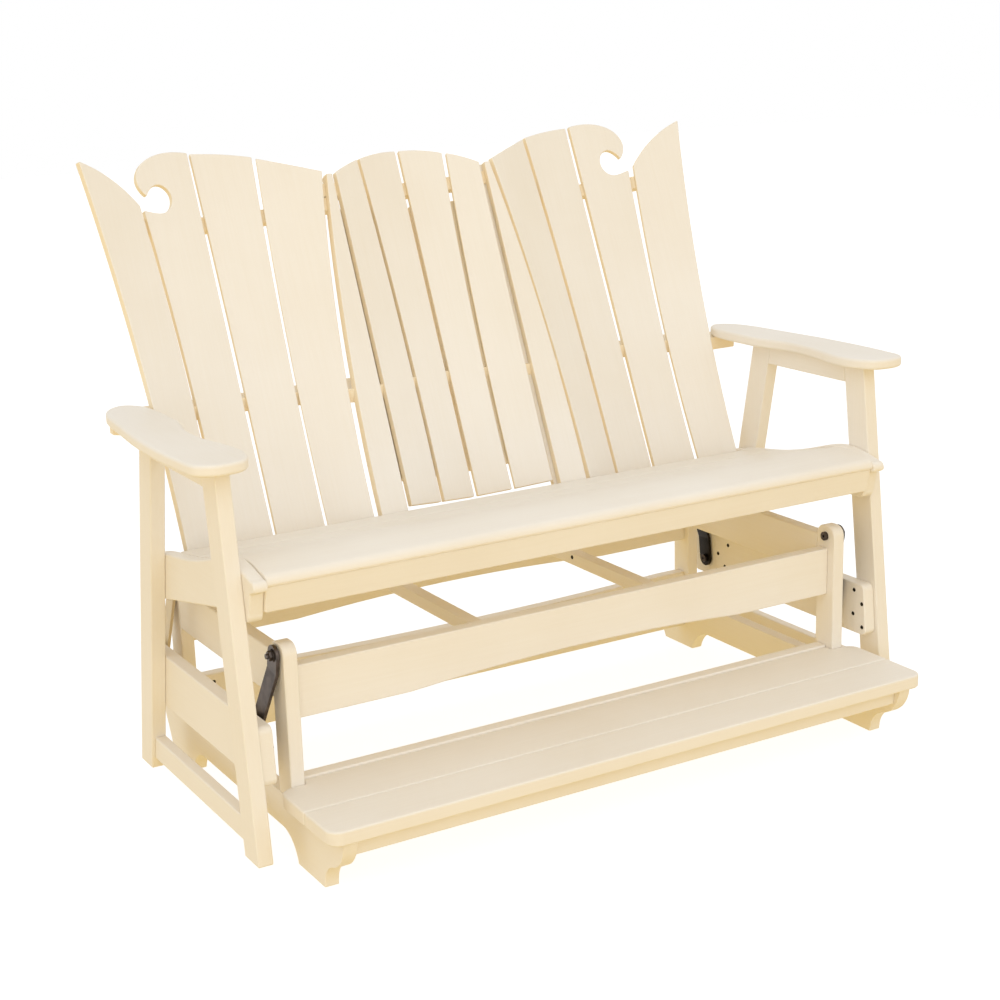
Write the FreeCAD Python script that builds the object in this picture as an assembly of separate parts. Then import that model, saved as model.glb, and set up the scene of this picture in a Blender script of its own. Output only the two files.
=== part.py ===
import FreeCAD, Part
import math
import os

V = FreeCAD.Vector

# Depths are measured from the runners' toe line and shifted so that the bench is centred
mid_depth = 404.6
lumber = 28.0
edge_round = 3.0
slat_edge_round = 2.0

# Fixed base
base_inner = 622.0
base_outer = base_inner + lumber
runner_top = 120.0
arch_height = 51.0
post_top = 418.0
post_width = 56.0
post_round = 22.0
front_post_start = 124.0
rear_post_start = 643.0
panel_bottom = 304.0
panel_top = 396.0
rail_bottom = 267.0
rail_top = 369.0
rail_arch_half = 385.0
rail_arch_rise = 15.0
front_rail_start = 143.5
rear_rail_start = 657.0
lower_rail_bottom = 51.0
lower_rail_top = 187.0
lower_rail_dish_half = 560.0
lower_rail_dish = 11.0
joist_offset = 206.0
joist_bottom = 325.0
foot_board_half = 677.0
foot_board_front = -98.0
foot_board_split = 12.0
foot_board_gap = 1.5
foot_board_corner = 26.0
post_notch = 621.0
post_notch_depth = 123.5
toe_rail_bottom = 42.0
toe_rail_top = 152.0
foot_apron_start = -72.0
foot_apron_bottom = 85.0

# Swing links and their pivots
front_pivot = 152.0
rear_pivot = 671.0
front_lower_pivot = 194.0
rear_lower_pivot = 651.0
upper_pivot_z = 395.0
link_length = 183.1
link_width = 38.0
link_thick = 6.0
link_upper_inner = 653.5
link_lower_inner = 678.0
link_bend_top = 362.0
link_bend_bottom = 262.0
link_bend_round = 14.0
bolt_radius = 5.0
running_clearance = 0.05
open_pivot_clearance = 3.0
side_clearance = 0.3
bolt_head_radius = 9.5
bolt_head_height = 6.0
washer_radius = 12.0
socket_across = 6.0
socket_depth = 3.5
nut_across = 17.0
nut_height = 8.0
nut_flange = 2.0
bolt_stub = 4.0

# Seat frame
leg_inner = 716.0
leg_thick = 30.0
leg_outer = leg_inner + leg_thick
leg_bottom = 35.0
leg_top = 749.5
front_leg_start = 68.0
front_leg_lean = 0.116
front_leg_width = 62.0
rear_leg_start = 606.0
rear_leg_lean = -0.205
rear_leg_width = 61.5
side_inner = leg_inner - lumber
stretcher_outer = leg_outer - 7.0
stretcher_bottom = 57.0
stretcher_top = 105.0
mid_rail_front = 93.0
mid_rail_rake = 10.0
mid_rail_rear = 704.0
mid_rail_bottom = 171.0
mid_rail_top = 283.0
mid_rail_corner = 14.0
under_arm_bottom = 708.0
arm_top = 771.0
arm_round = 6.0
seat_slat_thick = 22.0
seat_slat_gap = 4.0
seat_apron_start = 88.5
seat_apron_lean = 0.235
seat_apron_bottom = 494.0
seat_apron_top = 545.0
rib_offset = 230.0
rib_rear = 468.0
seat_underframe_bottom = 440.0

# Back, in a tilted frame: x across, s up the slope, n forward
back_depth = 585.8
back_height = 534.0
back_tilt = math.radians(24.08)
back_slat_thick = 13.0
back_slat_bottom = -95.0
edge_step = 300.0
wedge_bottom = -62.0
wedge_top = 672.0
wedge_thick = 18.5
wedge_strip_near = 180.0
wedge_strip_far = 194.0
wedge_strip_thick = 14.0
centre_bottom = -47.0
centre_corner = 700.0
centre_crown = 724.5
centre_dome_radius = 324.0
upright_bottom = 12.0
upright_top = 602.0
upright_near = 6.0
upright_far = 178.0
upright_thick = 20.0
upright_setback = 0.8
side_rail_height = 611.0
side_rail_inner = 195.0
side_rail_outer = 655.0
centre_rail_height = 641.0
centre_rail_half = 230.0
upper_rail_depth = 26.0
lower_back_rail_z = 460.0
rail_bite = 4.0

# Long edges of each slat's front face in the right half, nearer the middle first: x at the seat,
# one step and two steps up the slope, and n at the seat and two steps up
slat_edges = {
    "centre_inner": (((4.2, 4.2, 4.2), (13.7, 23.5)), ((82.2, 84.2, 94.7), (23.7, 38.2))),
    "centre_outer": (((89.9, 92.0, 102.4), (23.8, 41.0)), ((172.3, 172.6, 173.5), (50.5, 62.0))),
    "wedge": (((186.0, 184.9, 184.7), (56.0, 65.0)), ((249.6, 238.3, 207.8), (61.2, 68.8))),
    "fourth": (((264.0, 250.5, 218.5), (51.4, 62.3)), ((354.4, 349.5, 335.9), (17.9, 18.8))),
    "third": (((360.4, 355.0, 342.6), (17.4, 18.0)), ((461.2, 459.2, 459.4), (3.5, 0.0))),
    "curl": (((468.8, 468.5, 467.9), (6.2, 2.7)), ((571.7, 573.5, 587.6), (14.0, 19.8))),
    "outer": (((580.3, 580.2, 595.9), (18.9, 24.6)), ((667.9, 677.9, 704.0), (48.9, 70.5))),
}

# Screws
screw_head_radius = 4.5
screw_head_height = 1.2
screw_radius = 2.2
screw_length = 44.0


def side(y, z):
    return V(0, y - mid_depth, z)


def front(x, z):
    return V(x, 0, z)


def plan(x, y):
    return V(x, y - mid_depth, 0)


def outline(place, start, steps):
    # One point in a step is a line, two are an arc, more are a smooth curve
    edges = []
    here = start
    for step in steps:
        points = [place(*p) for p in [here] + list(step)]
        bow = (points[1] - points[0]).cross(points[-1] - points[0]).Length
        if bow < 1e-3:
            edges.append(Part.makeLine(points[0], points[-1]))
        elif len(points) == 3:
            edges.append(Part.Arc(points[0], points[1], points[2]).toShape())
        else:
            curve = Part.BSplineCurve()
            curve.interpolate(points)
            edges.append(curve.toShape())
        here = step[-1]
    return Part.Face(Part.Wire(edges))


def smooth_loop(place, points):
    curve = Part.BSplineCurve()
    curve.interpolate([place(*p) for p in points], PeriodicFlag=True)
    return Part.Face(Part.Wire([curve.toShape()]))


def along_x(start, steps, low, high):
    shape = outline(side, start, steps)
    shape.translate(V(low, 0, 0))
    return shape.extrude(V(high - low, 0, 0))


def along_y(start, steps, low, high):
    shape = outline(front, start, steps)
    shape.translate(V(0, low - mid_depth, 0))
    return shape.extrude(V(0, high - low, 0))


def along_z(start, steps, low, high):
    shape = outline(plan, start, steps)
    shape.translate(V(0, 0, low))
    return shape.extrude(V(0, 0, high - low))


def straight(points):
    return points[0], [[p] for p in points[1:] + points[:1]]


def box(x0, x1, y0, y1, z0, z1):
    return Part.makeBox(x1 - x0, y1 - y0, z1 - z0, V(x0, y0 - mid_depth, z0))


def eased(shape, radius=edge_round):
    return shape.makeFillet(radius, shape.Edges)


def corners_rounded(shape, radius, axis):
    # Rounds the edges that run along the given axis
    chosen = []
    for edge in shape.Edges:
        ends = edge.Vertexes
        if len(ends) == 2:
            run = ends[1].Point - ends[0].Point
            if run.Length > 0 and abs(run.normalize().dot(axis)) > 0.999:
                chosen.append(edge)
    return shape.makeFillet(radius, chosen)


def largest(shape):
    return max(shape.Solids, key=lambda solid: solid.Volume)


def mirrored(shape):
    return shape.mirror(V(0, 0, 0), V(1, 0, 0))


def rod(x, y, z, length, radius):
    return Part.makeCylinder(radius, length, V(x, y - mid_depth, z), V(1, 0, 0))


parts = {}


def add(name, shape):
    parts[name] = shape


def add_pair(name, shape):
    add(name + "_right", shape)
    add(name + "_left", mirrored(shape))


def both_sides(shapes):
    return Part.makeCompound(shapes + [mirrored(s) for s in shapes])


X_AXIS = V(1, 0, 0)
Y_AXIS = V(0, 1, 0)
Z_AXIS = V(0, 0, 1)
pivots = (front_pivot, rear_pivot)
lower_pivots = (front_lower_pivot, rear_lower_pivot)


def runner():
    steps = [
        [(112, 0)],
        [(132, 34), (170, arch_height)],
        [(567, arch_height)],
        [(606, 34), (627, 0)],
        [(736, 0)],
        [(795, runner_top)],
        [(-87, runner_top)],
        [(-87, 112)],
        [(-75, 82), (-42, 55.5)],
        [(-13, 38), (-1, 10)],
        [(0, 0)],
    ]
    return eased(along_x((0, 0), steps, base_inner, base_outer), 2.0)


def post(start, pivot):
    shape = box(base_inner, base_outer, start, start + post_width, runner_top, post_top)
    top_edges = []
    for edge in shape.Edges:
        middle = edge.CenterOfMass
        run = edge.Vertexes[1].Point - edge.Vertexes[0].Point
        if middle.z > post_top - 1 and abs(run.normalize().dot(X_AXIS)) > 0.999:
            top_edges.append(edge)
    shape = eased(shape.makeFillet(post_round, top_edges))
    hole = rod(base_inner - 1, pivot, upper_pivot_z, lumber + 2, bolt_radius + running_clearance)
    return shape.cut(hole)


def arched_rail(start):
    steps = [
        [(base_inner, rail_top)],
        [(-base_inner, rail_top)],
        [(-base_inner, rail_bottom)],
        [(-rail_arch_half, rail_bottom)],
        [(0, rail_bottom + rail_arch_rise), (rail_arch_half, rail_bottom)],
        [(base_inner, rail_bottom)],
    ]
    return along_y((base_inner, rail_bottom), steps, start, start + lumber)


def dished_rail():
    half = lower_rail_dish_half
    steps = [
        [(base_inner, lower_rail_top)],
        [(half, lower_rail_top)],
        [(0, lower_rail_top - lower_rail_dish), (-half, lower_rail_top)],
        [(-base_inner, lower_rail_top)],
        [(-base_inner, lower_rail_bottom)],
        [(base_inner, lower_rail_bottom)],
    ]
    return along_y((base_inner, lower_rail_bottom), steps, rear_rail_start, rear_rail_start + lumber)


def foot_board(outline_points, corners):
    start, steps = straight(outline_points)
    shape = along_z(start, steps, runner_top, runner_top + lumber)
    rounded = []
    for edge in shape.Edges:
        run = edge.Vertexes[1].Point - edge.Vertexes[0].Point
        at = edge.CenterOfMass
        near = [c for c in corners if (plan(*c) - V(at.x, at.y, 0)).Length < 1]
        if near and abs(run.normalize().dot(Z_AXIS)) > 0.999:
            rounded.append(edge)
    return eased(shape.makeFillet(foot_board_corner, rounded), 4.0)


def build_base():
    add_pair("runner", runner())
    add_pair("front_post", post(front_post_start, front_pivot))
    add_pair("rear_post", post(rear_post_start, rear_pivot))
    panel = box(base_inner, base_outer, front_post_start + post_width, rear_post_start,
                panel_bottom, panel_top)
    add("base_panels", both_sides([eased(panel)]))
    add("front_rail", eased(arched_rail(front_rail_start)))
    add("rear_upper_rail", eased(arched_rail(rear_rail_start)))
    add("rear_lower_rail", eased(dished_rail()))
    joist = box(joist_offset - lumber / 2, joist_offset + lumber / 2, front_rail_start + lumber,
                rear_rail_start, joist_bottom, joist_bottom + lumber)
    add("joists", both_sides([eased(joist)]))
    half = foot_board_half
    front_edge = foot_board_front
    split = foot_board_split
    add("foot_board_front", foot_board(
        [(-half, front_edge), (half, front_edge), (half, split), (-half, split)],
        [(-half, front_edge), (half, front_edge)]))
    rear_edge = split + foot_board_gap
    add("foot_board_rear", foot_board(
        [(-half, rear_edge), (half, rear_edge), (half, post_notch_depth), (post_notch, post_notch_depth),
         (post_notch, front_rail_start), (-post_notch, front_rail_start),
         (-post_notch, post_notch_depth), (-half, post_notch_depth)],
        [(-half, post_notch_depth), (half, post_notch_depth)]))
    add("toe_rail", eased(box(-base_inner, base_inner, front_rail_start, front_rail_start + lumber,
                              toe_rail_bottom, toe_rail_top)))
    apron = box(-base_inner, base_inner, foot_apron_start, foot_apron_start + lumber,
                foot_apron_bottom, runner_top)
    add("foot_apron", eased(apron))


def lower_height(upper, lower):
    return upper_pivot_z - math.sqrt(link_length ** 2 - (lower - upper) ** 2)


def link(upper, lower, lower_clearance):
    # Drawn hanging straight down from its upper pivot, then swung to its lower one
    reach = link_width / 2
    low_z = upper_pivot_z - link_length
    top = upper_pivot_z + reach
    bottom = low_z - reach
    up = link_upper_inner
    low = link_lower_inner
    points = [(up, top), (up, link_bend_top), (low, link_bend_bottom), (low, bottom),
              (low + link_thick, bottom), (low + link_thick, link_bend_bottom),
              (up + link_thick, link_bend_top), (up + link_thick, top)]
    start, steps = straight(points)
    bar = along_y(start, steps, upper - reach, upper + reach)
    bend_edges = []
    for edge in bar.Edges:
        at = edge.CenterOfMass
        if abs(at.y - (upper - mid_depth)) < 1 and bottom + 1 < at.z < top - 1:
            bend_edges.append(edge)
    bar = bar.makeFillet(link_bend_round, bend_edges)
    stadium_steps = [
        [(upper, bottom), (upper + reach, low_z)],
        [(upper + reach, upper_pivot_z)],
        [(upper, top), (upper - reach, upper_pivot_z)],
        [(upper - reach, low_z)],
    ]
    bar = bar.common(along_x((upper - reach, low_z), stadium_steps, base_outer, side_inner))
    for z, clearance in ((upper_pivot_z, running_clearance), (low_z, lower_clearance)):
        bar = bar.cut(rod(base_outer, upper, z, lumber + side_inner - base_outer, bolt_radius + clearance))
    swing = math.degrees(math.asin((lower - upper) / link_length))
    bar.rotate(V(0, upper - mid_depth, upper_pivot_z), X_AXIS, swing)
    return bar


def hex_bar(x, y, z, length, across):
    corner = across / math.sqrt(3)
    points = []
    for k in range(6):
        turn = math.radians(60 * k)
        points.append((y + corner * math.cos(turn), z + corner * math.sin(turn)))
    start, steps = straight(points)
    return along_x(start, steps, x, x + length)


def hex_nut(x, y, z):
    corner = nut_across / math.sqrt(3)
    chamfer = Part.makeCone(corner + nut_height - 2.5, corner - 2.0, nut_height + 0.5,
                            V(x, y - mid_depth, z), X_AXIS)
    nut = hex_bar(x, y, z, nut_height, nut_across).common(chamfer)
    nut = nut.fuse(rod(x, y, z, nut_flange, washer_radius))
    return nut.cut(rod(x - 1, y, z, nut_height + 2, bolt_radius))


def button_bolt(seat_x, y, z, length):
    # The head bears on the face at seat_x and the shank runs outwards from there
    shank = rod(seat_x, y, z, length, bolt_radius)
    button = Part.makeSphere(bolt_head_radius * 1.15, V(seat_x, y - mid_depth, z))
    disc = rod(seat_x - bolt_head_height, y, z, bolt_head_height, bolt_head_radius)
    socket = hex_bar(seat_x - bolt_head_height, y, z, socket_depth, socket_across)
    return shank.fuse(disc.common(button)).cut(socket)


def build_links():
    add_pair("front_link", link(front_pivot, front_lower_pivot, running_clearance))
    add_pair("rear_link", link(rear_pivot, rear_lower_pivot, open_pivot_clearance))
    bolts = []
    nuts = []
    washers = []
    nut_start = link_upper_inner + link_thick + side_clearance
    bolt_end = nut_start + nut_height + bolt_stub
    washer_thick = link_upper_inner - side_clearance - base_outer
    for y in pivots:
        bolts.append(button_bolt(base_inner, y, upper_pivot_z, bolt_end - base_inner))
        nuts.append(hex_nut(nut_start, y, upper_pivot_z))
        ring = rod(base_outer, y, upper_pivot_z, washer_thick, washer_radius)
        washers.append(ring.cut(rod(base_outer, y, upper_pivot_z, washer_thick, bolt_radius)))
    add("upper_pivot_bolts", both_sides(bolts))
    add("upper_pivot_nuts", both_sides(nuts))
    add("upper_pivot_washers", both_sides(washers))


def lower_bolt(upper, lower):
    head_start = link_lower_inner - side_clearance
    return button_bolt(head_start, lower, lower_height(upper, lower), leg_inner - 4 - head_start)


def lower_spacer(upper, lower):
    start = link_lower_inner + link_thick + side_clearance
    z = lower_height(upper, lower)
    ring = rod(start, lower, z, side_inner - start, washer_radius)
    return ring.cut(rod(start, lower, z, side_inner - start, bolt_radius))


def screw(x, y, z):
    head = rod(x - screw_head_height, y, z, screw_head_height, screw_head_radius)
    return head.fuse(rod(x, y, z, screw_length, screw_radius))


def leg_front_edge(start, lean, z):
    return start + lean * (z - leg_bottom)


def leg(start, lean, width):
    foot = leg_front_edge(start, lean, leg_bottom)
    head = leg_front_edge(start, lean, leg_top)
    points = [(foot, leg_bottom), (foot + width, leg_bottom), (head + width, leg_top), (head, leg_top)]
    first, steps = straight(points)
    return eased(along_x(first, steps, leg_inner, leg_outer))


def between_legs(bottom, top, low, high):
    def front_side(z):
        return leg_front_edge(front_leg_start, front_leg_lean, z) + front_leg_width

    def rear_side(z):
        return leg_front_edge(rear_leg_start, rear_leg_lean, z)

    points = [(front_side(bottom), bottom), (rear_side(bottom), bottom),
              (rear_side(top), top), (front_side(top), top)]
    first, steps = straight(points)
    return along_x(first, steps, low, high)


def arm():
    loop = [(681, 490), (681, 545), (683, 600), (694, 650), (725, 676), (754, 660), (776, 612),
            (788, 517), (801, 374), (803, 312), (802, 215), (798, 153), (790, 118), (767, 101),
            (731, 99), (706, 108), (686, 136), (678, 185), (684, 235), (697, 297), (701, 343),
            (699, 390), (689, 440)]
    shape = smooth_loop(plan, loop)
    shape.translate(V(0, 0, leg_top))
    shape = shape.extrude(V(0, 0, arm_top - leg_top))
    rims = [edge for edge in shape.Edges if edge.BoundBox.ZLength < 1]
    return shape.makeFillet(arm_round, rims)


def mid_rail():
    low = mid_rail_bottom
    high = mid_rail_top
    points = [(mid_rail_front, low), (mid_rail_rear, low), (mid_rail_rear, high),
              (mid_rail_front + mid_rail_rake, high)]
    first, steps = straight(points)
    rail = along_x(first, steps, side_inner, leg_inner)
    return eased(corners_rounded(rail, mid_rail_corner, X_AXIS))


def seat_side_panel():
    steps = [
        [(600, 484)],
        [(529, 503), (450, 515), (400, 522.8), (331, 538.5), (271, 556.5), (219, 571), (187, 575),
         (155, 573), (118, 565.5), (93, 559)],
        [(79.5, 552), (80, 540)],
        [(98, 533)],
        [(108, 492)],
        [(113, 480), (126, 476)],
        [(180, 474)],
        [(230, 469.5), (275, 462.5)],
    ]
    return along_x((600, 395), steps + [[(600, 395)]], side_inner, leg_inner)


# Top line of the flat seat slats, front to rear
seat_line = [(211, 568.5), (311, 543.0), (413, 521.5), (507, 506.8)]


def seat_slat_spans():
    spans = []
    for (y0, z0), (y1, z1) in zip(seat_line, seat_line[1:]):
        slope = (z1 - z0) / (y1 - y0)
        drop = seat_slat_thick * math.hypot(1, slope)
        y0 += seat_slat_gap / 2
        z0 += slope * seat_slat_gap / 2
        y1 -= seat_slat_gap / 2
        z1 -= slope * seat_slat_gap / 2
        spans.append(((y0, z0), (y1, z1), drop))
    return spans


def front_seat_slat():
    steps = [
        [(209, 569.2)],
        [(174, 574), (136, 572), (99, 566.2)],
        [(88, 559.8), (84.3, 549)],
        [(86, seat_apron_top)],
        [(135, seat_apron_top)],
        [(209, 547)],
    ]
    return along_x((209, 547), steps, -side_inner, side_inner)


def apron_front(z):
    return seat_apron_start + seat_apron_lean * (seat_apron_top - z)


def apron_rear(z):
    return apron_front(z) + lumber * math.hypot(1, seat_apron_lean)


def seat_apron():
    points = [(apron_front(seat_apron_bottom), seat_apron_bottom),
              (apron_rear(seat_apron_bottom), seat_apron_bottom),
              (apron_rear(seat_apron_top), seat_apron_top), (apron_front(seat_apron_top), seat_apron_top)]
    first, steps = straight(points)
    return eased(along_x(first, steps, -side_inner, side_inner))


def seat_rib():
    top = [(apron_rear(seat_apron_top), seat_apron_top), (135, seat_apron_top), (209, 547)]
    for (y0, z0), (y1, z1), drop in seat_slat_spans():
        last = y1 > rib_rear
        if last:
            z1 = z0 + (z1 - z0) * (rib_rear - y0) / (y1 - y0)
            y1 = rib_rear
        top += [(y0, z0 - drop), (y1, z1 - drop)]
    bottom = [(rib_rear, seat_underframe_bottom), (apron_rear(seat_apron_bottom), seat_apron_bottom)]
    first, steps = straight(top + bottom)
    return along_x(first, steps, rib_offset - lumber / 2, rib_offset + lumber / 2)


def seat_rear_batten():
    (y0, z0), (y1, z1), drop = seat_slat_spans()[-1]
    slope = (z1 - z0) / (y1 - y0)
    ends = []
    for y in (rib_rear, rib_rear + lumber):
        ends.append((y, z0 + slope * (y - y0) - drop))
    points = [(rib_rear, seat_underframe_bottom), (rib_rear + lumber, seat_underframe_bottom),
              ends[1], ends[0]]
    first, steps = straight(points)
    return along_x(first, steps, -side_inner, side_inner)


def build_seat():
    legs = {
        "front_leg": leg(front_leg_start, front_leg_lean, front_leg_width),
        "rear_leg": leg(rear_leg_start, rear_leg_lean, rear_leg_width),
    }
    bolts = [lower_bolt(*ends) for ends in zip(pivots, lower_pivots)]
    spacers = [lower_spacer(*ends) for ends in zip(pivots, lower_pivots)]
    screw_places = [(132, 267), (107, 241), (134, 213), (105, 189),
                    (574, 260), (612, 231), (586, 205), (618, 188)]
    screws = [screw(side_inner, y, z) for y, z in screw_places]
    add_pair("mid_rail", mid_rail().cut(Part.makeCompound(bolts)).cut(Part.makeCompound(screws)))
    for name, shape in legs.items():
        add_pair(name, shape.cut(Part.makeCompound(screws)))
    add("lower_pivot_bolts", both_sides(bolts))
    add("lower_pivot_spacers", both_sides(spacers))
    add("seat_screws", both_sides(screws))
    stretcher = between_legs(stretcher_bottom, stretcher_top, leg_inner, stretcher_outer)
    add("bottom_stretchers", both_sides([eased(stretcher)]))
    under_arm = between_legs(under_arm_bottom, leg_top, leg_inner, leg_outer)
    add("under_arm_rails", both_sides([eased(under_arm)]))
    add_pair("arm", arm())
    add_pair("seat_side", eased(seat_side_panel(), 4.0))
    add("front_seat_slat", eased(front_seat_slat(), 1.5))
    slats = []
    for (y0, z0), (y1, z1), drop in seat_slat_spans():
        first, steps = straight([(y0, z0), (y1, z1), (y1, z1 - drop), (y0, z0 - drop)])
        slats.append(eased(along_x(first, steps, -side_inner, side_inner)))
    add("seat_slats", Part.makeCompound(slats))
    add("seat_apron", seat_apron())
    add("seat_ribs", both_sides([seat_rib()]))
    add("seat_rear_batten", seat_rear_batten())


def back_point(x, s, n=0.0):
    y = back_depth + s * math.sin(back_tilt) - n * math.cos(back_tilt)
    z = back_height + s * math.cos(back_tilt) + n * math.sin(back_tilt)
    return V(x, y - mid_depth, z)


def edge_x(edge, s):
    first, second, third = edge[0]
    t = s / edge_step
    return first + t * (second - first) + t * (t - 1) / 2 * (third - 2 * second + first)


def edge_depth(edge, s):
    low, high = edge[1]
    return low + (high - low) * s / (2 * edge_step)


def edge_point(edge, s):
    return edge_x(edge, s), s


def edge_run(edge, start, end):
    # Arc along a slat's edge from one height to another
    return [edge_point(edge, (start + end) / 2), edge_point(edge, end)]


def slat_plane(name):
    # Front face as n = a + b x + c s, true at mid height and along the slat's own middle line
    near, far = slat_edges[name]
    ends = []
    for s in (0.0, 2 * edge_step):
        ends.append(((edge_x(near, s) + edge_x(far, s)) / 2, (edge_depth(near, s) + edge_depth(far, s)) / 2))
    (x0, n0), (x1, n1) = ends
    across = edge_depth(far, edge_step) - edge_depth(near, edge_step)
    b = across / (edge_x(far, edge_step) - edge_x(near, edge_step))
    c = (n1 - n0 - b * (x1 - x0)) / (2 * edge_step)
    return (n0 + n1) / 2 - b * (x0 + x1) / 2 - c * edge_step, b, c


def slat_thick(name):
    return wedge_thick if name == "wedge" else back_slat_thick


def rear_plane(name):
    a, b, c = slat_plane(name)
    return a - slat_thick(name) * math.sqrt(1 + b * b + c * c), b, c


def depth_on(plane, x, s):
    a, b, c = plane
    return a + b * x + c * s


def board_on(plane, start, steps, thickness):
    # Flat board whose front face lies in the plane and whose sides are square to it
    def place(x, s):
        return back_point(x, s, depth_on(plane, x, s))

    across = place(1, 0) - place(0, 0)
    upward = place(0, 1) - place(0, 0)
    normal = across.cross(upward).normalize()
    return outline(place, start, steps).extrude(normal * -thickness)


def dome(x):
    return centre_crown - centre_dome_radius + math.sqrt(centre_dome_radius ** 2 - x * x)


def dome_top(edge):
    return dome(edge_x(edge, centre_corner))


def back_slats():
    # Each slat of the right half, from the middle outwards
    centre_near, centre_split_near = slat_edges["centre_inner"]
    centre_split_far, centre_far = slat_edges["centre_outer"]
    low = back_slat_bottom
    curl_under = [(566, 635), (546, 635), (530, 647), (524, 666), (530, 684), (547, 694), (566, 686),
                  (577, 671)]
    curl_over = [(586, 681), (593, 704), (581, 733), (548, 755), (508, 763)]
    # Lower end, top of the far edge, points across the top, top of the near edge
    shapes = {
        "centre_inner": (centre_bottom, dome_top(centre_split_near), [[(50, dome(50))]],
                         dome_top(centre_near)),
        "centre_outer": (centre_bottom, dome_top(centre_far), [[(140, dome(140))]],
                         dome_top(centre_split_far)),
        "wedge": (wedge_bottom, wedge_top, [[]], wedge_top),
        "fourth": (low, 733, [[(268, 707)]], 679),
        "third": (low, 759.5, [[(400, 751.5)]], 737),
        "curl": (low, 641, [curl_under, curl_over], 760.5),
        "outer": (low, 733, [[(662, 706)]], 648),
    }
    slats = {}
    for name, (bottom, far_top, across, near_top) in shapes.items():
        near, far = slat_edges[name]
        steps = [[edge_point(far, bottom)], edge_run(far, bottom, far_top)]
        steps += across[:-1] + [across[-1] + [edge_point(near, near_top)]]
        steps.append(edge_run(near, near_top, bottom))
        slats[name] = board_on(slat_plane(name), edge_point(near, bottom), steps, slat_thick(name))
    return slats


def wedge_strip():
    # Backing strip along the wedge's inner edge, behind the gap beside the centre fan
    first, steps = straight([(wedge_strip_near, wedge_bottom), (wedge_strip_far, wedge_bottom),
                             (wedge_strip_far, wedge_top), (wedge_strip_near, wedge_top)])
    return board_on(rear_plane("wedge"), first, steps, wedge_strip_thick)


def rear_line(s, low, high):
    # Points x, n a little inside the slats' rear faces at slope height s
    points = []
    for name, (near, far) in slat_edges.items():
        start = max(edge_x(near, s), low)
        end = min(edge_x(far, s), high)
        if end > start:
            for x in (start, end):
                points.append((x, depth_on(rear_plane(name), x, s) + rail_bite))
    return points


def sloped_rail(s, points, slats):
    # Rail square to the back's slope, its front edge scribed to the slats' rear faces
    def place(x, n):
        return back_point(x, s - lumber / 2, n)

    first, steps = straight(points)
    upward = back_point(0, 1) - back_point(0, 0)
    return outline(place, first, steps).extrude(upward * lumber).cut(slats)


def curved_band(s, low, high):
    # Outline between the slats' rear faces and a parallel line behind them
    line = rear_line(s, low, high)
    return line + [(x, n - rail_bite - upper_rail_depth) for x, n in line[::-1]]


def side_upper_rail(slats):
    points = curved_band(side_rail_height, side_rail_inner, side_rail_outer)
    return largest(sloped_rail(side_rail_height, points, slats))


def centre_upper_rail(slats):
    right = curved_band(centre_rail_height, 0.0, centre_rail_half)
    points = right + [(-x, n) for x, n in right[::-1]]
    return largest(sloped_rail(centre_rail_height, points, slats))


def slope_height(n, z):
    return (z - back_height - n * math.sin(back_tilt)) / math.cos(back_tilt)


def level_line(z):
    # Points x, depth a little inside the slats' rear faces at height z, from the middle outwards
    points = []
    for name, edges in slat_edges.items():
        for edge in edges:
            s = slope_height(edge_depth(edge, slope_height(0, z)), z)
            x = edge_x(edge, s)
            n = depth_on(rear_plane(name), x, s) + rail_bite
            y = back_depth + slope_height(n, z) * math.sin(back_tilt) - n * math.cos(back_tilt)
            points.append((x, y))
    return points


def level_rail(z, right, slats):
    # Level rail from its outline's right half, given from the middle of the front edge round to the rear
    left = [(-x, y) for x, y in right[::-1]]
    first, steps = straight(right + left)
    return largest(along_z(first, steps, z - lumber / 2, z + lumber / 2).cut(slats))


def arm_level_rail(slats):
    z = leg_top - lumber / 2
    end = [(684, 628), (744, 630), (755, 642), (754, 664), (742, 676), (690, 735)]
    return level_rail(z, level_line(z) + end, slats)


def lower_back_rail(slats):
    edge = level_line(lower_back_rail_z)
    return level_rail(lower_back_rail_z, edge + [(side_inner, edge[-1][1]), (side_inner, 600)], slats)


def upright(slats):
    # Just behind the centre fan's inner slat
    a, b, c = rear_plane("centre_inner")
    first, steps = straight([(upright_near, upright_bottom), (upright_far, upright_bottom),
                             (upright_far, upright_top), (upright_near, upright_top)])
    board = board_on((a - upright_setback, b, c), first, steps, upright_thick)
    for slat in slats.Solids:
        board = board.cut(slat)
    return largest(board)


def build_back():
    slats = back_slats()
    strip = wedge_strip()
    right = list(slats.values()) + [strip]
    blanks = Part.makeCompound(right + [mirrored(s) for s in right])
    rounded = {name: eased(shape, slat_edge_round) for name, shape in slats.items()}
    for name in ("outer", "curl", "third", "fourth"):
        add_pair("back_" + name + "_slat", rounded[name])
    add("wedge_slats", both_sides([rounded["wedge"].fuse(strip)]))
    add("centre_inner_slats", both_sides([rounded["centre_inner"]]))
    add_pair("centre_outer_slat", rounded["centre_outer"])
    add("side_upper_rails", both_sides([side_upper_rail(blanks)]))
    add("centre_upper_rail", centre_upper_rail(blanks))
    uprights = both_sides([upright(blanks)])
    add("back_uprights", uprights)
    add("arm_level_rail", largest(arm_level_rail(blanks).cut(uprights)))
    add("lower_back_rail", lower_back_rail(blanks))


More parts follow.
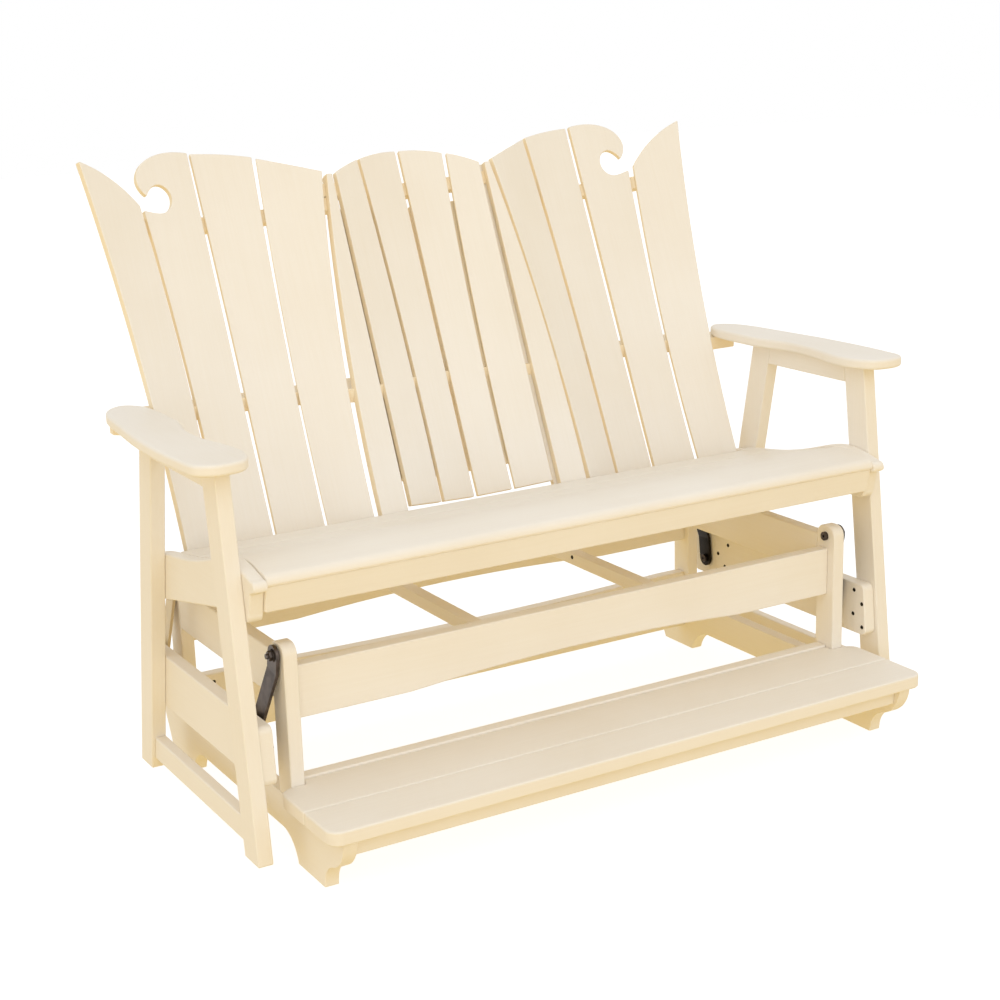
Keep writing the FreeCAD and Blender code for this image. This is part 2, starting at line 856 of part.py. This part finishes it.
def build_screws():
    # Joist screws and rail screws of the base
    joist_face = joist_offset - lumber / 2
    joist_screw = rod(joist_face - screw_head_height, 482, 343, screw_head_height, screw_head_radius)
    joist_screw = joist_screw.fuse(rod(joist_face, 482, 343, lumber - 6, screw_radius))
    head = Part.makeCylinder(screw_head_radius, screw_head_height,
                             V(582, rear_rail_start - screw_head_height - mid_depth, 169), Y_AXIS)
    shank = Part.makeCylinder(screw_radius, lumber - 6, V(582, rear_rail_start - mid_depth, 169), Y_AXIS)
    screws = both_sides([joist_screw, head.fuse(shank)])
    for name in ("joists", "rear_lower_rail"):
        parts[name] = parts[name].cut(screws)
    add("base_screws", screws)


build_base()
build_links()
build_seat()
build_back()
build_screws()

os.makedirs("parts", exist_ok=True)
for name, shape in parts.items():
    shape.exportStep("parts/" + name + ".step")
whole = Part.makeCompound(list(parts.values())).optimalBoundingBox()
print(len(parts), "nodes", whole)
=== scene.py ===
import bpy
import math
from mathutils import Matrix, Vector


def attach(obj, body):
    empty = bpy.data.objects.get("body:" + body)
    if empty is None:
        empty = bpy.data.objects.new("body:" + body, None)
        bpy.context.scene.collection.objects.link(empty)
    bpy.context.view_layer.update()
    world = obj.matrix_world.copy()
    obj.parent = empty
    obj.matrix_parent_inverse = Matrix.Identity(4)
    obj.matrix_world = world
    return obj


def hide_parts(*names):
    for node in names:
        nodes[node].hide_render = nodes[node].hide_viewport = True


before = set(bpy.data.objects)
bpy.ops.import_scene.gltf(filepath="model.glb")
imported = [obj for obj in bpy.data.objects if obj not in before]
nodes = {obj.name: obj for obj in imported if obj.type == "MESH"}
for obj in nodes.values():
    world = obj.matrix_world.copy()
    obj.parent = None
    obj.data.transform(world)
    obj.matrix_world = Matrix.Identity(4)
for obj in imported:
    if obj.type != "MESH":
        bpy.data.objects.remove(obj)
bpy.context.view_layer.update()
print("frame loaded:", len(nodes), "boards and fittings")

# poly lumber: one cream finish, its grain running along each board
lumberLook = {
    "cream": (0.89, 0.836, 0.748),
    "creamDeep": (0.86, 0.795, 0.69),
    "deepAt": 0.32,          # where the clouding has the deep cream
    "creamAt": 0.62,         # and where it has the full one
    "paintedShadeTone": (1.03, 0.96, 0.80),   # painted golden shade on the back slats' sides and on the rails and uprights seen between the slats, against the front faces
    "paintedShadeFacing": 0.45,      # share of the front direction up to which a face takes the full painted shade
    "shadeFreeFacing": 0.85,    # and from which it keeps the full cream
    "roughLow": 0.40,
    "roughHigh": 0.54,
    "specular": 0.32,
    "mottleScale": 4.0,      # broad clouding of the pigment, per metre
    "mottleDetail": 4,
    "grainAlong": 5.0,       # streak noise along the board
    "grainAcross": 190.0,    # and across it
    "grainDetail": 5,
    "grainFine": 0.6,
    "grainShare": 0.35,      # grain against clouding in the colour
    "grainBump": 0.00025,
    "grainStrength": 0.6,
    "pitScale": 900.0,       # fine orange-peel of the extruded skin
    "pitDetail": 2,
    "pitBump": 0.00006,
    "pitStrength": 0.5,
}


def linkNodes(tree, fromNode, fromSocket, toNode, toSocket):
    tree.links.new(fromNode.outputs[fromSocket], toNode.inputs[toSocket])


def addNode(tree, kind, x, y, **settings):
    node = tree.nodes.new(kind)
    node.location = (x, y)
    for key, value in settings.items():
        setattr(node, key, value)
    return node


def newMaterial(name):
    mat = bpy.data.materials.new(name)
    mat.use_nodes = True
    tree = mat.node_tree
    tree.nodes.clear()
    out = addNode(tree, "ShaderNodeOutputMaterial", 900, 0)
    bsdf = addNode(tree, "ShaderNodeBsdfPrincipled", 600, 0)
    linkNodes(tree, bsdf, "BSDF", out, "Surface")
    return mat, tree, bsdf


def setStops(ramp, *stops):
    for stop, (position, colour) in zip(ramp.color_ramp.elements, stops):
        stop.position = position
        stop.color = (*colour, 1)


# painted shade: faces turned away from the given direction take a golden tint that stands for the shade
# between the slats
def paintedShadeTint(tree, ramp, shadeFree):
    look = lumberLook
    geometry = addNode(tree, "ShaderNodeNewGeometry", -450, 700)
    toObject = addNode(tree, "ShaderNodeVectorTransform", -250, 700, vector_type="NORMAL",
                       convert_from="WORLD", convert_to="OBJECT")
    linkNodes(tree, geometry, "True Normal", toObject, "Vector")
    facing = addNode(tree, "ShaderNodeVectorMath", -50, 700, operation="DOT_PRODUCT")
    linkNodes(tree, toObject, "Vector", facing, 0)
    facing.inputs[1].default_value = shadeFree
    level = addNode(tree, "ShaderNodeMath", 150, 700, operation="ABSOLUTE")
    linkNodes(tree, facing, "Value", level, 0)
    paintedShade = addNode(tree, "ShaderNodeMapRange", 300, 600)
    paintedShade.inputs["From Min"].default_value = look["paintedShadeFacing"]
    paintedShade.inputs["From Max"].default_value = look["shadeFreeFacing"]
    paintedShade.inputs["To Min"].default_value = 1.0
    paintedShade.inputs["To Max"].default_value = 0.0
    linkNodes(tree, level, 0, paintedShade, "Value")
    # multiplies the cream by the painted shade tone, by the share worked out above
    tint = addNode(tree, "ShaderNodeMix", 420, 300, data_type="RGBA", blend_type="MULTIPLY")
    linkNodes(tree, paintedShade, "Result", tint, 0)
    linkNodes(tree, ramp, "Color", tint, 6)
    tint.inputs[7].default_value = (*look["paintedShadeTone"], 1)
    return tint


def polyLumber(name, grainTurn, shadeFree=None):
    # shadeFree: direction of the faces that keep the full cream, the other faces take the painted shade;
    # None for all, (0, 0, 0) for no face
    look = lumberLook
    mat, tree, bsdf = newMaterial(name)
    bsdf.inputs["Specular IOR Level"].default_value = look["specular"]
    coords = addNode(tree, "ShaderNodeTexCoord", -1100, 0)
    turn = addNode(tree, "ShaderNodeMapping", -900, 0)
    turn.inputs["Rotation"].default_value = grainTurn
    linkNodes(tree, coords, "Object", turn, "Vector")

    mottle = addNode(tree, "ShaderNodeTexNoise", -450, 300)
    mottle.inputs["Scale"].default_value = look["mottleScale"]
    mottle.inputs["Detail"].default_value = look["mottleDetail"]
    linkNodes(tree, turn, "Vector", mottle, "Vector")

    stretch = addNode(tree, "ShaderNodeMapping", -680, 0)
    stretch.inputs["Scale"].default_value = (look["grainAlong"], look["grainAcross"], look["grainAcross"])
    linkNodes(tree, turn, "Vector", stretch, "Vector")
    grain = addNode(tree, "ShaderNodeTexNoise", -450, 0)
    grain.inputs["Scale"].default_value = 1.0
    grain.inputs["Detail"].default_value = look["grainDetail"]
    grain.inputs["Roughness"].default_value = look["grainFine"]
    linkNodes(tree, stretch, "Vector", grain, "Vector")

    pits = addNode(tree, "ShaderNodeTexNoise", -450, -300)
    pits.inputs["Scale"].default_value = look["pitScale"]
    pits.inputs["Detail"].default_value = look["pitDetail"]
    linkNodes(tree, coords, "Object", pits, "Vector")

    # pigment clouds and a trace of the grain in the colour
    tone = addNode(tree, "ShaderNodeMix", -200, 300, data_type="FLOAT")
    tone.inputs[0].default_value = look["grainShare"]
    linkNodes(tree, mottle, "Fac", tone, 2)
    linkNodes(tree, grain, "Fac", tone, 3)
    ramp = addNode(tree, "ShaderNodeValToRGB", 0, 300)
    setStops(ramp, (look["deepAt"], look["creamDeep"]), (look["creamAt"], look["cream"]))
    linkNodes(tree, tone, 0, ramp, "Fac")
    if shadeFree is None:
        linkNodes(tree, ramp, "Color", bsdf, "Base Color")
    else:
        linkNodes(tree, paintedShadeTint(tree, ramp, shadeFree), 2, bsdf, "Base Color")

    rough = addNode(tree, "ShaderNodeMapRange", 0, 0)
    rough.inputs["To Min"].default_value = look["roughLow"]
    rough.inputs["To Max"].default_value = look["roughHigh"]
    linkNodes(tree, grain, "Fac", rough, "Value")
    linkNodes(tree, rough, "Result", bsdf, "Roughness")

    grainBump = addNode(tree, "ShaderNodeBump", 200, -200)
    grainBump.inputs["Distance"].default_value = look["grainBump"]
    grainBump.inputs["Strength"].default_value = look["grainStrength"]
    linkNodes(tree, grain, "Fac", grainBump, "Height")
    pitBump = addNode(tree, "ShaderNodeBump", 400, -200)
    pitBump.inputs["Distance"].default_value = look["pitBump"]
    pitBump.inputs["Strength"].default_value = look["pitStrength"]
    linkNodes(tree, pits, "Fac", pitBump, "Height")
    linkNodes(tree, grainBump, "Normal", pitBump, "Normal")
    linkNodes(tree, pitBump, "Normal", bsdf, "Normal")
    return mat


# steel of links and bolts, the cream coat of the rear-left link, and a black that the screws have as their
# own and that on the rear-right link is painted shade
steelLook = {
    "bare": {"colour": (0.072, 0.058, 0.050), "metallic": 1.0, "wornShare": 2.0},
    # black: the screws' own colour; on the rear-right link it is painted shade
    "blackCoatAndShade": {"colour": (0.018, 0.015, 0.012), "metallic": 1.0, "wornShare": 2.0},
    "creamCoat": {"colour": (0.60, 0.48, 0.28), "metallic": 0.0, "wornShare": 1.15},
    "roughLow": 0.28,
    "roughHigh": 0.48,
    "wearScale": 60.0,
    "wearDetail": 4,
    "freshAt": 0.35,         # where the wear leaves the surface as it is
    "wornAt": 0.75,          # and where it is worn to wornShare of the colour
    "peelScale": 700.0,
    "peelBump": 0.00008,
}


def coatedSteel(name, coat):
    look = steelLook
    mat, tree, bsdf = newMaterial(name)
    bsdf.inputs["Metallic"].default_value = coat["metallic"]
    coords = addNode(tree, "ShaderNodeTexCoord", -800, 0)
    peel = addNode(tree, "ShaderNodeTexNoise", -500, -200)
    peel.inputs["Scale"].default_value = look["peelScale"]
    linkNodes(tree, coords, "Object", peel, "Vector")
    wear = addNode(tree, "ShaderNodeTexNoise", -500, 200)
    wear.inputs["Scale"].default_value = look["wearScale"]
    wear.inputs["Detail"].default_value = look["wearDetail"]
    linkNodes(tree, coords, "Object", wear, "Vector")
    ramp = addNode(tree, "ShaderNodeValToRGB", -200, 200)
    worn = [coat["wornShare"] * c for c in coat["colour"]]
    setStops(ramp, (look["freshAt"], coat["colour"]), (look["wornAt"], worn))
    linkNodes(tree, wear, "Fac", ramp, "Fac")
    linkNodes(tree, ramp, "Color", bsdf, "Base Color")
    rough = addNode(tree, "ShaderNodeMapRange", 0, 0)
    rough.inputs["To Min"].default_value = look["roughLow"]
    rough.inputs["To Max"].default_value = look["roughHigh"]
    linkNodes(tree, wear, "Fac", rough, "Value")
    linkNodes(tree, rough, "Result", bsdf, "Roughness")
    bump = addNode(tree, "ShaderNodeBump", 200, -200)
    bump.inputs["Distance"].default_value = look["peelBump"]
    linkNodes(tree, peel, "Fac", bump, "Height")
    linkNodes(tree, bump, "Normal", bsdf, "Normal")
    return mat


# lumber finishes by the way the grain runs: across the bench, along its depth, upright, up the tilted back
backTilt = math.radians(24.08)
quarterTurn = math.radians(90)
finishes = {
    "across": polyLumber("lumberAcross", (0, 0, 0)),
    "deep": polyLumber("lumberDeep", (0, 0, quarterTurn)),
    "upright": polyLumber("lumberUpright", (0, quarterTurn, 0)),
    # back slats keep the full cream on their front faces and take painted shade on their sides
    "back": polyLumber("lumberBack", (backTilt, quarterTurn, 0),
                       (0, -math.cos(backTilt), math.sin(backTilt))),
    # rails and uprights behind the back slats: painted shade on every face
    "paintedShade": polyLumber("lumberPaintedShade", (0, 0, 0), (0, 0, 0)),
    "creamSteel": coatedSteel("creamSteel", steelLook["creamCoat"]),
    "blackSteelAndShade": coatedSteel("blackSteelAndShade", steelLook["blackCoatAndShade"]),
    "steel": coatedSteel("darkSteel", steelLook["bare"]),
}

# the first finish with a word of the node's name is its own; boards without one run across the bench
finishWords = {
    "creamSteel": ("rear_link_left",),
    # the rear-right link's black is painted shade; the screws' black is their own
    "blackSteelAndShade": ("rear_link_right", "screws"),
    "steel": ("link", "bolts", "nuts", "washers", "spacers"),
    "back": ("slat_left", "slat_right", "wedge_slats", "centre_inner_slats"),
    # rails and uprights seen between the slats take the painted shade
    "paintedShade": ("upper_rails", "centre_upper_rail", "arm_level_rail", "lower_back_rail", "back_uprights"),
    "upright": ("leg", "post"),
    "deep": ("runner", "base_panels", "joists", "mid_rail", "arm_left", "arm_right", "under_arm",
             "seat_side", "stretchers", "seat_ribs"),
}


def finishFor(nodeName):
    for finish, words in finishWords.items():
        if any(word in nodeName for word in words):
            return finish
    return "across"


for nodeName, board in nodes.items():
    board.data.materials.clear()
    board.data.materials.append(finishes[finishFor(nodeName)])
print("finishes set")

# screw heads with a six-lobed drive, in place of the plain ones
midDepth = 0.4046    # depth of the frame's middle behind the runners' toe line
screwLook = {
    "headRadius": 0.0045,
    "headHeight": 0.0012,
    "crownShare": 0.78,      # flat of the head against its rim
    "driveShare": 0.6,       # drive against the flat
    "driveDepth": 0.0009,
    "lobe": 0.18,            # swell of the lobes against the drive's radius
    "lobeCount": 6.0,
    "rimSides": 24,
    "seatX": 0.688,          # inner face of the mid rails
    "seatPlaces": [(0.132, 0.267), (0.107, 0.241), (0.134, 0.213), (0.105, 0.189),
                   (0.574, 0.260), (0.612, 0.231), (0.586, 0.205), (0.618, 0.188)],
    "joistPlace": (0.192, 0.482, 0.343),
    "railPlace": (0.582, 0.657, 0.169),
}


def treeInput(tree, name, value):
    socket = tree.interface.new_socket(name=name, in_out="INPUT", socket_type="NodeSocketFloat")
    socket.default_value = value
    return socket.identifier


def mathNode(tree, operation, x, y, first, second):
    node = addNode(tree, "ShaderNodeMath", x, y, operation=operation)
    for index, term in enumerate((first, second)):
        if isinstance(term, float):
            node.inputs[index].default_value = term
        elif term is not None:
            tree.links.new(term, node.inputs[index])
    return node.outputs[0]


def screwTree(material):
    tree = bpy.data.node_groups.new("screwHeads", "GeometryNodeTree")
    tree.interface.new_socket(name="Geometry", in_out="INPUT", socket_type="NodeSocketGeometry")
    sizes = {key: treeInput(tree, key, screwLook[key])
             for key in ("headRadius", "headHeight", "crownShare", "driveShare", "driveDepth", "lobe")}
    tree.interface.new_socket(name="Geometry", in_out="OUTPUT", socket_type="NodeSocketGeometry")
    source = addNode(tree, "NodeGroupInput", -1600, 0)
    result = addNode(tree, "NodeGroupOutput", 1600, 0)

    disc = addNode(tree, "GeometryNodeMeshCylinder", -1300, 200, fill_type="NGON")
    disc.inputs["Vertices"].default_value = screwLook["rimSides"]
    linkNodes(tree, source, "headRadius", disc, "Radius")
    linkNodes(tree, source, "headHeight", disc, "Depth")
    crown = addNode(tree, "GeometryNodeScaleElements", -1050, 200, domain="FACE")
    linkNodes(tree, disc, "Mesh", crown, "Geometry")
    linkNodes(tree, disc, "Top", crown, "Selection")
    linkNodes(tree, source, "crownShare", crown, "Scale")
    rim = addNode(tree, "GeometryNodeExtrudeMesh", -800, 200, mode="FACES")
    rim.inputs["Offset Scale"].default_value = 0
    linkNodes(tree, crown, "Geometry", rim, "Mesh")
    linkNodes(tree, disc, "Top", rim, "Selection")
    drive = addNode(tree, "GeometryNodeScaleElements", -550, 200, domain="FACE")
    linkNodes(tree, rim, "Mesh", drive, "Geometry")
    linkNodes(tree, rim, "Top", drive, "Selection")
    linkNodes(tree, source, "driveShare", drive, "Scale")

    # six lobes round the drive
    place = addNode(tree, "GeometryNodeInputPosition", -1050, -200)
    parts = addNode(tree, "ShaderNodeSeparateXYZ", -850, -200)
    linkNodes(tree, place, "Position", parts, "Vector")
    angle = mathNode(tree, "ARCTAN2", -650, -200, parts.outputs["Y"], parts.outputs["X"])
    turns = mathNode(tree, "MULTIPLY", -450, -200, angle, screwLook["lobeCount"])
    wave = mathNode(tree, "COSINE", -250, -200, turns, None)
    swell = mathNode(tree, "MULTIPLY", -50, -200, wave, source.outputs["lobe"])
    stretch = addNode(tree, "ShaderNodeVectorMath", 150, -200, operation="SCALE")
    flat = addNode(tree, "ShaderNodeCombineXYZ", -250, -400)
    tree.links.new(parts.outputs["X"], flat.inputs["X"])
    tree.links.new(parts.outputs["Y"], flat.inputs["Y"])
    linkNodes(tree, flat, "Vector", stretch, 0)
    tree.links.new(swell, stretch.inputs["Scale"])
    lobes = addNode(tree, "GeometryNodeSetPosition", 150, 200)
    linkNodes(tree, drive, "Geometry", lobes, "Geometry")
    linkNodes(tree, rim, "Top", lobes, "Selection")
    linkNodes(tree, stretch, "Vector", lobes, "Offset")
    sunk = addNode(tree, "GeometryNodeExtrudeMesh", 400, 200, mode="FACES")
    tree.links.new(mathNode(tree, "MULTIPLY", 200, 0, source.outputs["driveDepth"], -1.0),
                   sunk.inputs["Offset Scale"])
    linkNodes(tree, lobes, "Geometry", sunk, "Mesh")
    linkNodes(tree, rim, "Top", sunk, "Selection")

    facing = addNode(tree, "GeometryNodeInputNamedAttribute", 150, 500, data_type="FLOAT_VECTOR")
    facing.inputs["Name"].default_value = "facing"
    aim = addNode(tree, "FunctionNodeAlignRotationToVector", 400, 500, axis="Z")
    linkNodes(tree, facing, "Attribute", aim, "Vector")
    heads = addNode(tree, "GeometryNodeInstanceOnPoints", 700, 200)
    linkNodes(tree, source, "Geometry", heads, "Points")
    linkNodes(tree, sunk, "Mesh", heads, "Instance")
    linkNodes(tree, aim, "Rotation", heads, "Rotation")
    real = addNode(tree, "GeometryNodeRealizeInstances", 950, 200)
    linkNodes(tree, heads, "Instances", real, "Geometry")
    paint = addNode(tree, "GeometryNodeSetMaterial", 1200, 200)
    paint.inputs["Material"].default_value = material
    linkNodes(tree, real, "Geometry", paint, "Geometry")
    linkNodes(tree, paint, "Geometry", result, "Geometry")
    return tree, sizes


def addScrews(name, body, node, tree, sizes, places):
    mesh = bpy.data.meshes.new(name + "Places")
    rise = screwLook["headHeight"] / 2
    mesh.from_pydata([Vector(spot) + rise * Vector(way) for spot, way in places], [], [])
    facing = mesh.attributes.new("facing", "FLOAT_VECTOR", "POINT")
    for index, (spot, way) in enumerate(places):
        facing.data[index].vector = way
    holder = bpy.data.objects.new(name + "Places", mesh)
    bpy.context.scene.collection.objects.link(holder)
    modifier = holder.modifiers.new("heads", "NODES")
    modifier.node_group = tree
    for key, identifier in sizes.items():
        modifier[identifier] = screwLook[key]
    plain = bpy.data.meshes.new_from_object(holder.evaluated_get(bpy.context.evaluated_depsgraph_get()))
    holder.modifiers.remove(modifier)
    bpy.data.objects.remove(holder)
    piece = bpy.data.objects.new(name, plain)
    bpy.context.scene.collection.objects.link(piece)
    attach(piece, body)
    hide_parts(node)


def screwSpots():
    seatSpots = []
    baseSpots = []
    for hand in (-1, 1):
        inward = (-hand, 0, 0)
        for y, z in screwLook["seatPlaces"]:
            seatSpots.append(((hand * screwLook["seatX"], y - midDepth, z), inward))
        x, y, z = screwLook["joistPlace"]
        baseSpots.append(((hand * x, y - midDepth, z), inward))
        x, y, z = screwLook["railPlace"]
        baseSpots.append(((hand * x, y - midDepth, z), (0, -1, 0)))
    return seatSpots, baseSpots


headTree, headSizes = screwTree(finishes["blackSteelAndShade"])
seatSpots, baseSpots = screwSpots()
addScrews("seatScrewHeads", "seat", "seat_screws", headTree, headSizes, seatSpots)
addScrews("baseScrewHeads", "base", "base_screws", headTree, headSizes, baseSpots)
print("screw heads:", len(seatSpots) + len(baseSpots))

# camera at the photograph's place
view = {
    "place": (-1.8471, -3.1086, 1.5),
    "yaw": 30.30,
    "pitch": 15.15,
    "roll": 1.68,
    "lens": 65.43,
    "sensor": 36,
}


def addCamera():
    yaw, pitch, roll = (math.radians(view[k]) for k in ("yaw", "pitch", "roll"))
    forward = Vector((math.sin(yaw) * math.cos(pitch), math.cos(yaw) * math.cos(pitch), -math.sin(pitch)))
    right = Vector((math.cos(yaw), -math.sin(yaw), 0))
    down = forward.cross(right)
    across = math.cos(roll) * right + math.sin(roll) * down
    upward = math.sin(roll) * right - math.cos(roll) * down
    turn = Matrix((across, upward, -forward)).transposed()
    camera = bpy.data.objects.new("camera", bpy.data.cameras.new("camera"))
    camera.data.lens = view["lens"]
    camera.data.sensor_width = view["sensor"]
    camera.matrix_world = Matrix.Translation(view["place"]) @ turn.to_4x4()
    bpy.context.scene.collection.objects.link(camera)
    bpy.context.scene.camera = camera


addCamera()

# studio: white floor and surround for the eye, soft lamps in front, warm light thrown up by the ground
studio = {
    "fill": 0.83,
    "fillColour": (1.0, 0.985, 0.96),
    "lamps": [
        {"name": "keyLamp", "place": (-2.2, -3.4, 4.8), "size": 3.0, "power": 24},
        {"name": "frontLamp", "place": (-1.9, -3.6, 0.9), "size": 2.5, "power": 16},
        {"name": "highLamp", "place": (0.4, -4.2, 2.6), "size": 3.0, "power": 20},
        {"name": "leftLamp", "place": (-4.5, -0.5, 1.0), "size": 3.0, "power": 14},
    ],
    "groundGlow": (0.82, 0.60, 0.20),
    "floorWhite": 0.88,      # share of the floor's white that keeps its level in the shadow
    "floorShade": 0.3,       # and the share that the shadow darkens
    "floorSize": 30.0,
    "lampTarget": (0, 0, 0.6),
}


def seenDirectly(tree, x, y):
    # rays from the eye, or by way of a mirror or glass
    path = addNode(tree, "ShaderNodeLightPath", x, y)
    first = addNode(tree, "ShaderNodeMath", x + 200, y, operation="MAXIMUM")
    second = addNode(tree, "ShaderNodeMath", x + 400, y, operation="MAXIMUM")
    linkNodes(tree, path, "Is Camera Ray", first, 0)
    linkNodes(tree, path, "Is Glossy Ray", first, 1)
    linkNodes(tree, first, 0, second, 0)
    linkNodes(tree, path, "Is Transmission Ray", second, 1)
    return second


def addWorld():
    world = bpy.data.worlds.new("studio")
    world.use_nodes = True
    tree = world.node_tree
    tree.nodes.clear()
    out = addNode(tree, "ShaderNodeOutputWorld", 900, 0)
    mix = addNode(tree, "ShaderNodeMixShader", 700, 0)
    fill = addNode(tree, "ShaderNodeBackground", 400, 100)
    fill.inputs["Color"].default_value = (*studio["fillColour"], 1)
    fill.inputs["Strength"].default_value = studio["fill"]
    white = addNode(tree, "ShaderNodeBackground", 400, -100)
    white.inputs["Color"].default_value = (1, 1, 1, 1)
    white.inputs["Strength"].default_value = 1
    seen = seenDirectly(tree, -300, 300)
    linkNodes(tree, seen, 0, mix, 0)
    linkNodes(tree, fill, 0, mix, 1)
    linkNodes(tree, white, 0, mix, 2)
    linkNodes(tree, mix, 0, out, "Surface")
    bpy.context.scene.world = world


def addFloor():
    half = studio["floorSize"] / 2
    mesh = bpy.data.meshes.new("floor")
    corners = [(-half, -half, 0), (half, -half, 0), (half, half, 0), (-half, half, 0)]
    mesh.from_pydata(corners, [], [(0, 1, 2, 3)])
    floor = bpy.data.objects.new("floor", mesh)
    bpy.context.scene.collection.objects.link(floor)
    mat = bpy.data.materials.new("paleFloor")
    mat.use_nodes = True
    tree = mat.node_tree
    tree.nodes.clear()
    out = addNode(tree, "ShaderNodeOutputMaterial", 900, 0)
    mix = addNode(tree, "ShaderNodeMixShader", 700, 0)
    glow = addNode(tree, "ShaderNodeEmission", 400, 150)
    glow.inputs["Color"].default_value = (*studio["groundGlow"], 1)
    pale = addNode(tree, "ShaderNodeBsdfDiffuse", 200, -50)
    pale.inputs["Color"].default_value = (*[studio["floorShade"]] * 3, 1)
    white = addNode(tree, "ShaderNodeEmission", 200, -200)
    white.inputs["Strength"].default_value = studio["floorWhite"]
    both = addNode(tree, "ShaderNodeAddShader", 450, -100)
    linkNodes(tree, pale, 0, both, 0)
    linkNodes(tree, white, 0, both, 1)
    seen = seenDirectly(tree, -300, 300)
    linkNodes(tree, seen, 0, mix, 0)
    linkNodes(tree, glow, 0, mix, 1)
    linkNodes(tree, both, 0, mix, 2)
    linkNodes(tree, mix, 0, out, "Surface")
    mesh.materials.append(mat)


def addLamp(spec):
    lamp = bpy.data.lights.new(spec["name"], "AREA")
    lamp.shape = "DISK"
    lamp.size = spec["size"]
    lamp.energy = spec["power"]
    holder = bpy.data.objects.new(spec["name"], lamp)
    holder.location = spec["place"]
    aim = Vector(studio["lampTarget"]) - Vector(spec["place"])
    holder.rotation_euler = aim.to_track_quat("-Z", "Y").to_euler()
    bpy.context.scene.collection.objects.link(holder)


addWorld()
addFloor()
for spec in studio["lamps"]:
    addLamp(spec)
bpy.context.scene.view_settings.view_transform = "Standard"
print("studio ready")
